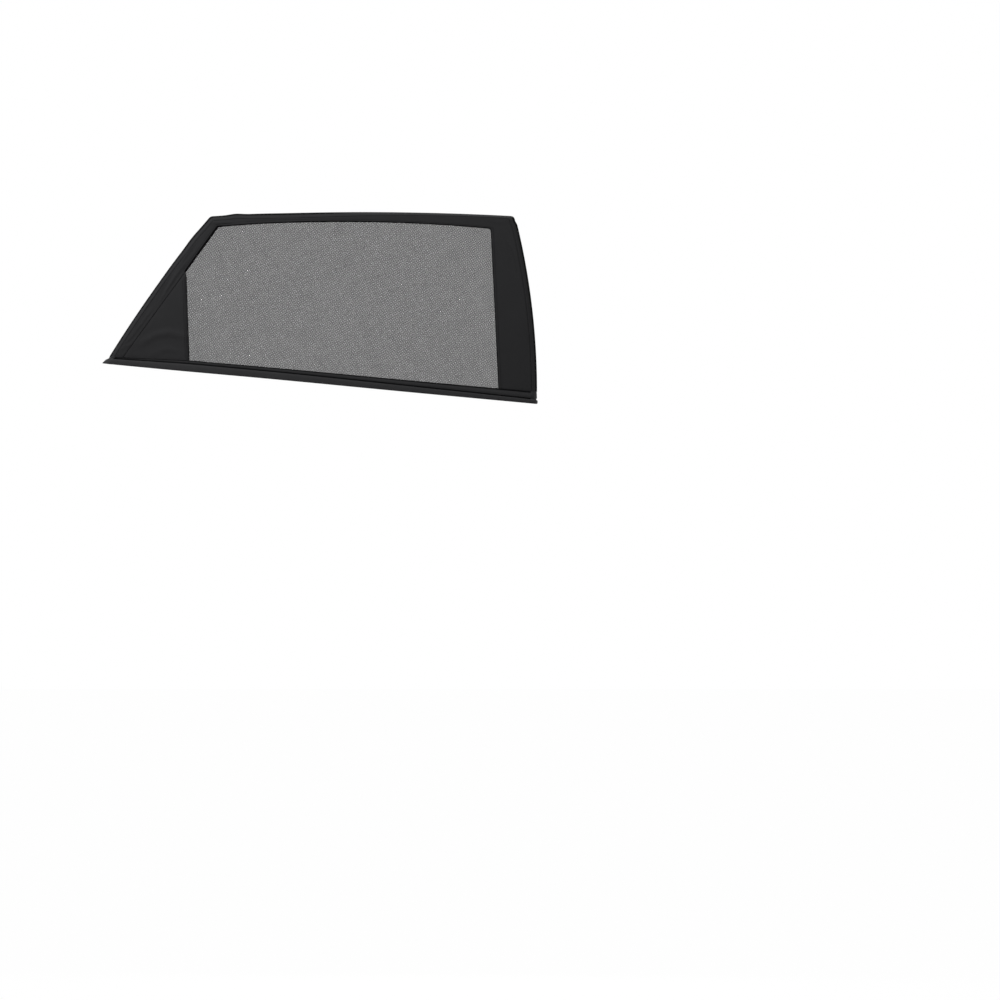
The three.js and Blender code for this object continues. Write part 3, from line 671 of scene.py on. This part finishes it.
def hem_section(station):
    """Across the folded strip at one station, as a ring: outward from the face, and up from the fold."""
    x, turn, side = station
    top, upper = float(casing_height(x)), float(hem_height(x))
    middle = (top + upper) / 2
    # down the outside: the outer leaf, the groove of its stitches and the casing
    outside = [(-0.1, upper), (0.0, upper - 0.3), (0.15, middle + 0.5), (-0.1, top + 2.0)]
    outside += [(-1.3, top + 1.2), (-1.65, top), (-1.3, top - 1.1), (0.3, top - 1.9)]
    outside += [(0.95, 0.7 * top), (1.05, 0.5 * top), (0.8, 0.26 * top), (0.4, 1.2)]
    # round the fold and up behind, to the edge of the inner leaf
    fold = [(-0.1, 0.45), (-0.9, 0.1), (FOLD_LINE, 0.0), (-2.3, 0.1), (-3.1, 0.55)]
    behind = [(-3.6, 1.4), (-3.85, 0.35 * top), (-3.85, 0.65 * top)]
    behind += [(-3.6, top - 1.7), (-3.15, top), (-3.1, upper - 0.1)]
    # back down inside the casing, round its fold and up to the outer leaf
    inside = [(-2.55, upper - 0.1), (-2.6, top), (-3.0, top - 1.9)]
    inside += [(-3.22, 0.65 * top), (-3.22, 0.35 * top), (-3.0, 1.8)]
    inside += [(-2.6, 1.15), (FOLD_LINE, 0.65), (-0.6, 1.15), (-0.1, 1.8), (0.3, 0.35 * top)]
    inside += [(0.3, 0.62 * top), (-0.4, top - 2.2), (-1.8, top - 1.4), (-2.15, top)]
    inside += [(-1.8, top + 1.5), (-0.75, top + 2.4), (-0.6, upper - 0.2), (-0.35, upper + 0.1)]
    ring = np.array(outside + fold + behind + inside)
    swell = np.clip(np.sin(math.pi * np.clip(ring[:, 1] / top, 0, 1)), 0, 1)
    wave = math.sin(x * 0.71 + 1.3 * side)
    wave += 0.7 * math.sin(x * 1.07 + 2.0 + side)
    wave += 0.6 * math.sin(x * 0.29 + side)
    facing = np.where(ring[:, 0] > FOLD_LINE, 1.0, -1.0)
    ring[:, 0] += GATHER * wave / 2.3 * swell * facing * math.sin(turn) ** 2
    return on_mouth(station, ring[:, 0], ring[:, 1])


stations = mouth_stations()
points, faces = loft([hem_section(station) for station in stations], around=True)
hem = made("hem_casing", points, faces, hem_jersey_painted_light, "stretch_cloth", "outer_hem", "inner_hem")


# Elastic in the hem
# One loop of braided elastic, six millimetres wide, runs through the casing all round the mouth.
# It keeps its own solid; the braid is polyester over rubber, with ribs along it and a dull gloss.
braided_elastic = bpy.data.materials.new("braided_elastic")
braided_elastic.use_nodes = True
tree = braided_elastic.node_tree
tree.nodes.clear()
place = add(tree, "ShaderNodeTexCoord")
# ribs of the braid lie 1.2 mm apart
braided = {"Scale": METRE_WAVE / 0.0012, "Distortion": 0.3}
ribs = add(tree, "ShaderNodeTexWave", braided, {"Vector": place.outputs["Object"]}, bands_direction="Z")
wear = add(tree, "ShaderNodeTexNoise", {"Scale": 60.0, "Detail": 3.0}, {"Vector": place.outputs["Object"]})
dyes = {"A": linear("#0f0f10"), "B": linear("#1a1a1b")}
dye = add(tree, "ShaderNodeMix", dyes, {"Factor": wear.outputs["Fac"]}, data_type="RGBA")
bump = add(tree, "ShaderNodeBump", {"Strength": 0.7, "Distance": 0.0002}, {"Height": ribs.outputs["Fac"]})
braid = add(
    tree,
    "ShaderNodeBsdfPrincipled",
    {"Roughness": 0.8, "IOR": 1.5, "Specular IOR Level": 0.1},
    {"Base Color": dye.outputs["Result"], "Normal": bump.outputs["Normal"]},
)
add(tree, "ShaderNodeOutputMaterial", links={"Surface": braid.outputs["BSDF"]})
elastic = bpy.data.objects["hem_elastic"]
elastic.data.materials.clear()
elastic.data.materials.append(braided_elastic)


# Tape over the edge seam
# Where the two faces meet, a narrow woven tape is sewn over the seam from foot to foot.
# It hugs the rounded edge; its near-black is painted shade, the thin dark line that runs round the
# sunshade.
woven_tape = bpy.data.materials.new("woven_twill_tape")
woven_tape.use_nodes = True
tree = woven_tape.node_tree
tree.nodes.clear()
place = add(tree, "ShaderNodeTexCoord")
# twill ribs lie 0.7 mm apart; drawn 1.4 mm apart so that they show
woven = {"Scale": METRE_WAVE / 0.0014, "Distortion": 0.4}
links = {"Vector": place.outputs["Object"]}
ribs = add(tree, "ShaderNodeTexWave", woven, links, bands_direction="DIAGONAL")
wear = add(tree, "ShaderNodeTexNoise", {"Scale": 40.0, "Detail": 4.0}, {"Vector": place.outputs["Object"]})
# near-black, darker than the cloth: painted shade along the outline and the window's edges
dyes = {"A": linear("#050505"), "B": linear("#0c0c0d")}
dye = add(tree, "ShaderNodeMix", dyes, {"Factor": wear.outputs["Fac"]}, data_type="RGBA")
bump = add(tree, "ShaderNodeBump", {"Strength": 0.6, "Distance": 0.0002}, {"Height": ribs.outputs["Fac"]})
twill = add(
    tree,
    "ShaderNodeBsdfPrincipled",
    {"Roughness": 0.95, "IOR": 1.5, "Specular IOR Level": 0.02},
    {"Base Color": dye.outputs["Result"], "Normal": bump.outputs["Normal"]},
)
add(tree, "ShaderNodeOutputMaterial", links={"Surface": twill.outputs["BSDF"]})

TAPE = 0.75  # thickness
# section of the tape: depth across the seam, and outward from the rounded edge
TAPE_DEPTH = [-4.0, -3.9, -3.2, -1.6, 0.0, 1.6, 3.2, 3.9, 4.0, 3.2, 0.0, -3.2]
TAPE_RISE = [0.3, 0.62, TAPE, TAPE, 0.7, TAPE, TAPE, 0.62, 0.3, 0.08, 0.08, 0.08]


def on_edge(i, depth, outward):
    """Points over the edge seam: depth across the seam, and outward from the rounded edge."""
    depth, outward = np.asarray(depth, dtype=float), np.asarray(outward, dtype=float)
    hug = EDGE_WRAP * (1 - np.sqrt(1 - (depth / HALF_DEPTH) ** 2))
    spot = outline[i] + out_ways[i] * (outward - hug)[:, None]
    return in_place(spot[:, 0], depth, spot[:, 1])


last = len(outline) - 1
points, faces = loft([on_edge(i, TAPE_DEPTH, TAPE_RISE) for i in range(1, last)])
tape = made("edge_tape", points, faces, woven_tape, "seam_tape", "edge_seam_tape")


# Binding of the windows
# The same dark tape, folded over the turned edge of the band; it hardly shows at the front. Its near-black
# is painted shade along the window's edge. The gusset's upright edge has a wider binding of the elastic
# braid, whose dark width is painted shade along that edge.
GUSSET_BINDING = 4.8  # width on the face


def folded_over(width):
    """Across the binding: inward from the window's edge, less than nothing over the cloth, and height."""
    over = [(-width, 20.05), (-width + 0.25, 20.35), (-0.75, 20.35), (0.05, 20.1), (0.4, 19.4)]
    under = [(0.05, 18.7), (-0.75, 18.46), (-0.75, 18.72), (-0.1, 18.9), (0.12, 19.4)]
    home = [(-0.1, 19.92), (-0.75, 20.1), (-width + 0.25, 20.1)]
    return np.array(over + under + home).T


def binding_width(spot):
    """Width of the dark binding, which is painted shade along the window's edge: wide down the rear slope,
    narrow at the rear of the top, and wider again to the front corner.
    """
    places = [-288.0, -222.0, -210.0, -80.0, 0.0, 320.0, 336.0]
    widths = [3.0, 2.9, 1.0, 1.0, 1.8, 1.8, 1.3]
    return float(np.interp(spot[0], places, widths))


for word, side in (("outer", OUTSIDE), ("inner", INSIDE)):
    sections = []
    for i in range(elbow, last):
        inward, height = folded_over(binding_width(inner_edge[i]))
        width = np.linalg.norm(inner_edge[i] - outline[i])
        sections.append(on_band(i, width + inward, height, np.full(len(inward), math.pi / 2), side))
    points, faces = loft(sections)
    made(f"{word}_window_binding", points, faces, woven_tape, "seam_tape")
    sections = []
    for share in np.linspace(0.0, 0.95, 58):
        width = gusset_level(share)[2]
        inward, height = folded_over(min(GUSSET_BINDING, 0.7 * width))
        sections.append(on_gusset(share, width + inward, height, side))
    points, faces = loft(sections)
    made(f"{word}_gusset_binding", points, faces, braided_elastic, "elastic")


# Stitching
# Black polyester thread: single rows along the windows, the gussets and the outline, and flatlock on the
# hem, dense and near-black as painted shade in its grooves. An overlock of fuzzier thread covers the edge
# from the tape on; its deep black is painted shade that darkens the outline.
sewing_thread = bpy.data.materials.new("spun_polyester_thread")
sewing_thread.use_nodes = True
tree = sewing_thread.node_tree
tree.nodes.clear()
place = add(tree, "ShaderNodeTexCoord")
# the twist of the thread repeats every 0.6 mm
links = {"Vector": place.outputs["Object"]}
turns = {"Scale": METRE_WAVE / 0.0006}
twist = add(tree, "ShaderNodeTexWave", turns, links, bands_direction="DIAGONAL")
wear = add(tree, "ShaderNodeTexNoise", {"Scale": 50.0, "Detail": 2.0}, {"Vector": place.outputs["Object"]})
# black like the real thread, and darker still as painted shade in the grooves that the rows lie in
dyes = {"A": linear("#050506"), "B": linear("#0b0b0c")}
dye = add(tree, "ShaderNodeMix", dyes, {"Factor": wear.outputs["Fac"]}, data_type="RGBA")
bump = add(tree, "ShaderNodeBump", {"Strength": 0.5, "Distance": 0.0001}, {"Height": twist.outputs["Fac"]})
ply = add(
    tree,
    "ShaderNodeBsdfPrincipled",
    {"Roughness": 0.85, "IOR": 1.5, "Specular IOR Level": 0.03},
    {"Base Color": dye.outputs["Result"], "Normal": bump.outputs["Normal"]},
)
add(tree, "ShaderNodeOutputMaterial", links={"Surface": ply.outputs["BSDF"]})

THREAD = 0.6  # real thread is 0.35 mm thick; drawn thicker so that it shows
# the flatlock and the overlock are sewn thick and close, so that their black rows paint the shade of the
# hem's grooves and the outline
BULKY_THREAD = 1.1  # textured thread of the flatlock and the overlock
STITCH_LENGTH = 3.4
STITCH_PITCH = 4.6
ROUND = [(math.cos(a), math.sin(a)) for a in np.arange(5) * 2 * math.pi / 5]


def stitch(start, end, out, thread=THREAD):
    """One stitch: a short thread that rises from one hole and goes down into the next."""
    way = end - start
    length = np.linalg.norm(way)
    side = np.cross(way / length, out)
    side /= np.linalg.norm(side)
    steps = np.array([0.0, 0.14, 0.5, 0.86, 1.0])
    lift = np.array([-0.25, 0.05, 0.12, 0.05, -0.25]) / 1000
    thick = np.array([0.55, 0.95, 1.0, 0.95, 0.55]) * thread / 2000
    middle = start + steps[:, None] * way + lift[:, None] * out
    return middle, side * thick[:, None], out * (0.8 * thick)[:, None]


def point_at(distance, run, line):
    """The point of a line at one distance from its start; run holds the distances of its points."""
    return np.array([np.interp(distance, run, axis) for axis in line.T])


def row(line, outs):
    """A row of stitches along a line in space, with the way out of the cloth at each of its points."""
    run = reach(line) * 1000
    found = []
    for first in np.arange(1.0, run[-1] - STITCH_LENGTH, STITCH_PITCH):
        out = point_at(first, run, outs)
        ends = [point_at(first, run, line), point_at(first + STITCH_LENGTH, run, line)]
        found.append(stitch(ends[0], ends[1], out / np.linalg.norm(out)))
    return found


def outward_of(side, count):
    """The way straight out of one face, once for each point of a line."""
    return np.tile([0.0, float(side), 0.0], (count, 1))


def band_row(side, start, end, inset):
    """A row on the band between two stations of the outline, set back from the window's edge."""
    line = []
    for i in range(start, end):
        width = np.linalg.norm(inner_edge[i] - outline[i])
        line.append(on_band(i, [width - inset], [HALF_DEPTH + 0.1], [math.pi / 2], side)[0])
    return row(np.array(line), outward_of(side, len(line)))


def edge_row(side):
    """The row that holds the seam allowance, all round inside the outline."""
    turn = math.acos(1 - STITCHED_IN / EDGE_WRAP)
    height = HALF_SEAM + (HALF_DEPTH - HALF_SEAM) * math.sin(turn) - GROOVE + 0.2
    line = [on_band(i, [STITCHED_IN], [height], [turn], side)[0] for i in range(1, last)]
    return row(np.array(line), outward_of(side, len(line)))


def gusset_row(side, inset):
    """A row down the gusset, set back from its upright edge."""
    line = []
    for share in np.linspace(0.03, 0.93, 50):
        line.append(on_gusset(share, [gusset_level(share)[2] - inset], [HALF_DEPTH + 0.1], side)[0])
    return row(np.array(line), outward_of(side, len(line)))


def hem_line(side, height_of, over, outward):
    """A line along one face of the hem, some way over one of its heights and out from the face."""
    line = []
    for station in stations:
        x, turn, which = station
        if which == side and abs(turn - math.pi / 2) < 1e-6:
            line.append(on_mouth(station, [outward], [float(height_of(x)) + over])[0])
    return np.array(line)


def flatlock(side, line, at_rear, at_front):
    """Stitches to and fro across a seam, close enough to cover it with a black strip of painted shade; its
    half widths at both ends.
    """
    run = reach(line) * 1000
    out = outward_of(side, 1)[0]
    found = []
    for k, at in enumerate(np.arange(0.5, run[-1] - 1.3, 1.1)):
        start, end = point_at(at, run, line), point_at(at + 1.0, run, line)
        half = at_rear + (at_front - at_rear) * at / run[-1]
        rise = half * (1 if k % 2 else -1) / 1000
        start[2] -= rise
        end[2] += rise
        found.append(stitch(start, end, out, BULKY_THREAD))
    return found


WINDOW_ROW = 5.6  # back from the window's edge, through the turned cloth
SEAM_ROW = 1.2  # back from the band's seam with the gusset
GUSSET_ROW = 7.0  # back from the gusset's upright edge

for word, side in (("outer", OUTSIDE), ("inner", INSIDE)):
    runs = band_row(side, elbow, last, WINDOW_ROW) + band_row(side, 1, elbow, SEAM_ROW)
    runs += gusset_row(side, GUSSET_ROW) + edge_row(side)
    points, faces = tubes(runs, ROUND)
    made(f"{word}_face_stitching", points, faces, sewing_thread, "seam_tape")
    # the hem's two flatlock rows, at its upper edge and in its groove, are painted shade lines
    runs = flatlock(side, hem_line(side, hem_height, -0.7, 0.4), 0.4, 1.5)
    runs += flatlock(side, hem_line(side, casing_height, 0.0, -1.15), 0.7, 1.7)
    points, faces = tubes(runs, ROUND)
    made(f"{word}_hem_stitching", points, faces, sewing_thread, "seam_tape")


# Crimped nylon, which the overlock is sewn with: fuzzy, so that it hardly shines; its deep black is painted
# shade along the outline.
crimped_nylon = bpy.data.materials.new("crimped_nylon_thread")
crimped_nylon.use_nodes = True
tree = crimped_nylon.node_tree
tree.nodes.clear()
place = add(tree, "ShaderNodeTexCoord")
fuzz = add(tree, "ShaderNodeTexNoise", {"Scale": 300.0, "Detail": 2.0}, {"Vector": place.outputs["Object"]})
dyes = {"A": linear("#030303"), "B": linear("#070708")}
dye = add(tree, "ShaderNodeMix", dyes, {"Factor": fuzz.outputs["Fac"]}, data_type="RGBA")
matt = {"Roughness": 1.0, "Specular IOR Level": 0.01}
crimp = add(tree, "ShaderNodeBsdfPrincipled", matt, {"Base Color": dye.outputs["Result"]})
add(tree, "ShaderNodeOutputMaterial", links={"Surface": crimp.outputs["BSDF"]})

# the overlock is laid wide over the rounded edge, so that its black paints the shade along the outline
OVERLOCK_PITCH = 1.3
TAPE_EDGE = 3.2  # where the overlock starts, from the middle of the seam
OVERLOCK_EDGE = 14.8  # and where it ends, on the rounded edge


def laced(near, far, outs):
    """Stitches to and fro between two lines that run side by side."""
    run = reach(near) * 1000
    found = []
    for k, at in enumerate(np.arange(0.5, run[-1] - OVERLOCK_PITCH, OVERLOCK_PITCH)):
        first, second = (far, near) if k % 2 else (near, far)
        start = point_at(at, run, first)
        end = point_at(at + 0.9 * OVERLOCK_PITCH, run, second)
        out = point_at(at, run, outs)
        found.append(stitch(start, end, out / np.linalg.norm(out), BULKY_THREAD))
    return found


runs = []
for side in (OUTSIDE, INSIDE):
    near = np.array([on_edge(i, [TAPE_EDGE * side], [TAPE])[0] for i in range(1, last)])
    far = np.array([on_edge(i, [OVERLOCK_EDGE * side], [0.55])[0] for i in range(1, last)])
    outs = [out_ways[1:last, 0], np.full(last - 1, 0.3 * side), out_ways[1:last, 1]]
    runs += laced(near, far, np.stack(outs, axis=1))
points, faces = tubes(runs, ROUND)
made("edge_overlock", points, faces, crimped_nylon, "seam_tape")


# Studio
# A plain white room: pale floor far below the shade, soft lamps in front, and white behind.
# The camera looks square on, from the height and side that leave the shade where the picture has it.
def plain_sight(tree):
    """One for what the camera sees, straight or in gloss or through glass, and nothing for soft light."""
    rays = add(tree, "ShaderNodeLightPath")
    links = {0: rays.outputs["Is Camera Ray"], 1: rays.outputs["Is Glossy Ray"]}
    seen = add(tree, "ShaderNodeMath", links=links, operation="MAXIMUM")
    links = {0: seen.outputs["Value"], 1: rays.outputs["Is Transmission Ray"]}
    return add(tree, "ShaderNodeMath", links=links, operation="MAXIMUM").outputs["Value"]


# Matt paint that takes a shadow; to the camera it is almost wholly plain white.
studio_white = bpy.data.materials.new("studio_floor_paint")
studio_white.use_nodes = True
tree = studio_white.node_tree
tree.nodes.clear()
paint = add(tree, "ShaderNodeBsdfDiffuse", {"Color": linear("#e6e6e6")})
clean = add(tree, "ShaderNodeEmission", {"Color": (1, 1, 1, 1), "Strength": 1.0})
share = add(tree, "ShaderNodeMath", {1: 0.99}, {0: plain_sight(tree)}, operation="MULTIPLY")
links = {0: share.outputs["Value"], 1: paint.outputs["BSDF"], 2: clean.outputs["Emission"]}
both = add(tree, "ShaderNodeMixShader", links=links)
add(tree, "ShaderNodeOutputMaterial", links={"Surface": both.outputs["Shader"]})

FLOOR = -1.75
FLOOR_HALF = 40.0
corners = [(x * FLOOR_HALF, y * FLOOR_HALF, FLOOR) for x, y in ((-1, -1), (1, -1), (1, 1), (-1, 1))]
floor_mesh = bpy.data.meshes.new("studio_floor")
floor_mesh.from_pydata(corners, [], [(0, 1, 2, 3)])
floor_mesh.materials.append(studio_white)
floor = bpy.data.objects.new("studio_floor", floor_mesh)
bpy.context.scene.collection.objects.link(floor)

world = bpy.data.worlds.new("studio_air")
bpy.context.scene.world = world
world.use_nodes = True
tree = world.node_tree
tree.nodes.clear()
white = add(tree, "ShaderNodeBackground", {"Color": (1, 1, 1, 1), "Strength": 1.0})
soft = add(tree, "ShaderNodeBackground", {"Color": (1, 1, 1, 1), "Strength": 0.2})
links = {0: plain_sight(tree), 1: soft.outputs["Background"], 2: white.outputs["Background"]}
both = add(tree, "ShaderNodeMixShader", links=links)
add(tree, "ShaderNodeOutputWorld", links={"Surface": both.outputs["Shader"]})


def lamp(name, place, aim, size, power):
    """A round soft lamp at one place, turned to another."""
    light = bpy.data.lights.new(name, "AREA")
    light.shape = "DISK"
    light.size = size
    light.energy = power
    thing = bpy.data.objects.new(name, light)
    thing.location = place
    way = np.array(aim, dtype=float) - np.array(place, dtype=float)
    level = math.hypot(way[0], way[1])
    thing.rotation_euler = (math.atan2(level, -way[2]), 0.0, math.atan2(-way[0], way[1]))
    bpy.context.scene.collection.objects.link(thing)


SHADE_MIDDLE = (0.0, 0.0, -0.2)
lamp("key_lamp", (-1.5, -1.6, 1.3), SHADE_MIDDLE, 0.8, 100.0)
lamp("fill_lamp", (2.6, -0.45, 0.5), SHADE_MIDDLE, 1.0, 33.0)
lamp("back_lamp", (0.3, 4.0, -0.3), SHADE_MIDDLE, 1.6, 90.0)

# from 20 m away the picture, 1000 pixels wide, spans 2050 mm at the shade
SENSOR = 36.0
DISTANCE = 20.0
SPAN = 2.05
camera_data = bpy.data.cameras.new("camera")
camera_data.sensor_width = SENSOR
camera_data.lens = SENSOR * DISTANCE / SPAN
camera = bpy.data.objects.new("camera", camera_data)
camera.location = (0.3547, -20.008, -0.588)
camera.rotation_euler = (math.radians(90), 0.0, 0.0)
bpy.context.scene.collection.objects.link(camera)
bpy.context.scene.camera = camera
bpy.context.scene.view_settings.view_transform = "Standard"
